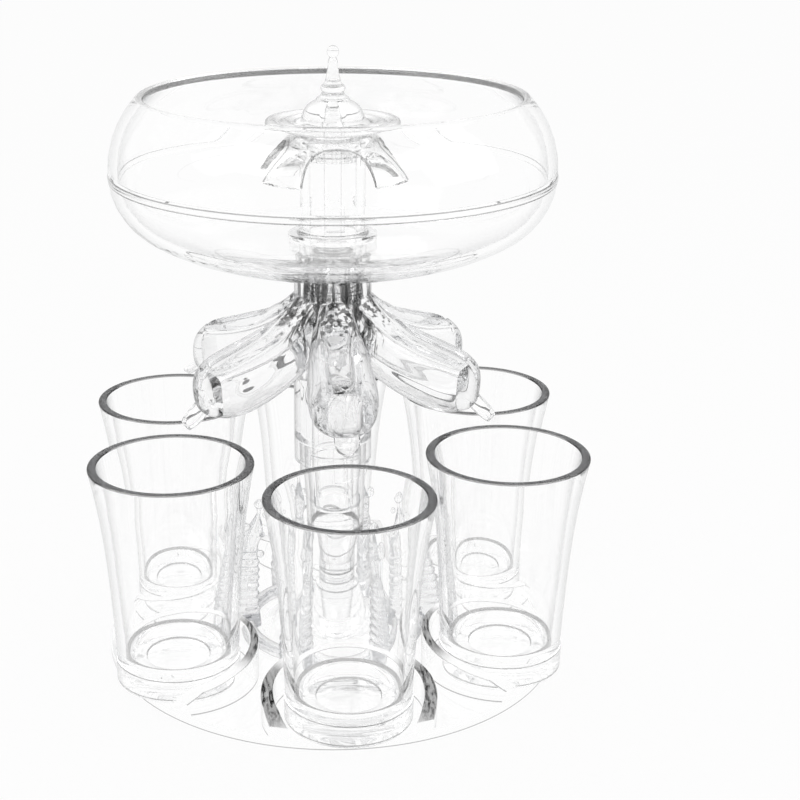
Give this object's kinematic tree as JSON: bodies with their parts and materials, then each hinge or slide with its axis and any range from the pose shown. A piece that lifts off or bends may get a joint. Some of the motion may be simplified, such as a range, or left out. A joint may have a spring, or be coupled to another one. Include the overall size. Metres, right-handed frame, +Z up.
{
  "type": "party shot dispenser",
  "caption": "Clear drink dispenser: a round bowl with a lift valve and drop knob feeds a ring of drooping spouts over shot glasses that stand in open pockets on a round base.",
  "frame": {"origin": "underside of the base at the column's axis, which is the centre of the bounding box's bottom", "axes": "+Z up along the column; the first glass stands towards -Y and the others follow at equal steps"},
  "size_m": [0.1394, 0.1538, 0.1764],
  "materials": {
    "base_acrylic": "polished clear",
    "crown_acrylic": "polished clear",
    "post_acrylic": "polished clear",
    "distributor_acrylic": "polished clear",
    "seal_rubber": "satin",
    "bowl_acrylic": "polished clear",
    "seam_rubber": "satin",
    "pipe_acrylic": "polished clear",
    "guard_acrylic": "polished clear",
    "valve_acrylic": "polished clear",
    "disc_acrylic": "polished clear",
    "glass_acrylic": "polished clear"
  },
  "bodies": {
    "stand": {"base": "base_acrylic", "splash_crown": "crown_acrylic", "post": "post_acrylic"},
    "distributor": {"distributor_lower": "distributor_acrylic", "distributor_upper": "distributor_acrylic", "post_seal": "seal_rubber"},
    "bowl": {"bowl_lower": "bowl_acrylic", "bowl_seam_ring": "seam_rubber", "bowl_upper": "bowl_acrylic", "standpipe": "pipe_acrylic", "floor_washer": "seal_rubber", "pipe_nut": "pipe_acrylic", "neck_seal": "seal_rubber", "arched_guard": "guard_acrylic", "guide_collar": "guard_acrylic"},
    "valve": {"valve_stem": "valve_acrylic", "valve_plug": "valve_acrylic", "plug_seal": "seal_rubber", "ripple_disc": "disc_acrylic", "drop_knob": "disc_acrylic"},
    "glass_1": {"glass_1": "glass_acrylic"},
    "glass_2": {"glass_2": "glass_acrylic"},
    "glass_3": {"glass_3": "glass_acrylic"},
    "glass_4": {"glass_4": "glass_acrylic"},
    "glass_5": {"glass_5": "glass_acrylic"},
    "glass_6": {"glass_6": "glass_acrylic"}
  },
  "joints": [
    {"name": "bayonet_turn", "type": "hinge", "parent": "stand", "child": "distributor", "pos_m": [0, 0, 0.06], "axis": [0, 0, -1], "range_deg": [0, 58]},
    {"name": "bowl_lift", "type": "slide", "parent": "distributor", "child": "bowl", "axis": [0, 0, 1], "range_m": [0, 0.02]},
    {"name": "valve_lift", "type": "slide", "parent": "bowl", "child": "valve", "axis": [0, 0, 1], "range_m": [0, 0.008]},
    {"name": "glass_1_draw", "type": "slide", "parent": "stand", "child": "glass_1", "axis": [0, -0.8988, 0.4384], "range_m": [0, 0.04]},
    {"name": "glass_2_draw", "type": "slide", "parent": "stand", "child": "glass_2", "axis": [0.7784, -0.4494, 0.4384], "range_m": [0, 0.04]},
    {"name": "glass_3_draw", "type": "slide", "parent": "stand", "child": "glass_3", "axis": [0.7784, 0.4494, 0.4384], "range_m": [0, 0.04]},
    {"name": "glass_4_draw", "type": "slide", "parent": "stand", "child": "glass_4", "axis": [0, 0.8988, 0.4384], "range_m": [0, 0.04]},
    {"name": "glass_5_draw", "type": "slide", "parent": "stand", "child": "glass_5", "axis": [-0.7784, 0.4494, 0.4384], "range_m": [0, 0.04]},
    {"name": "glass_6_draw", "type": "slide", "parent": "stand", "child": "glass_6", "axis": [-0.7784, -0.4494, 0.4384], "range_m": [0, 0.04]}
  ]
}
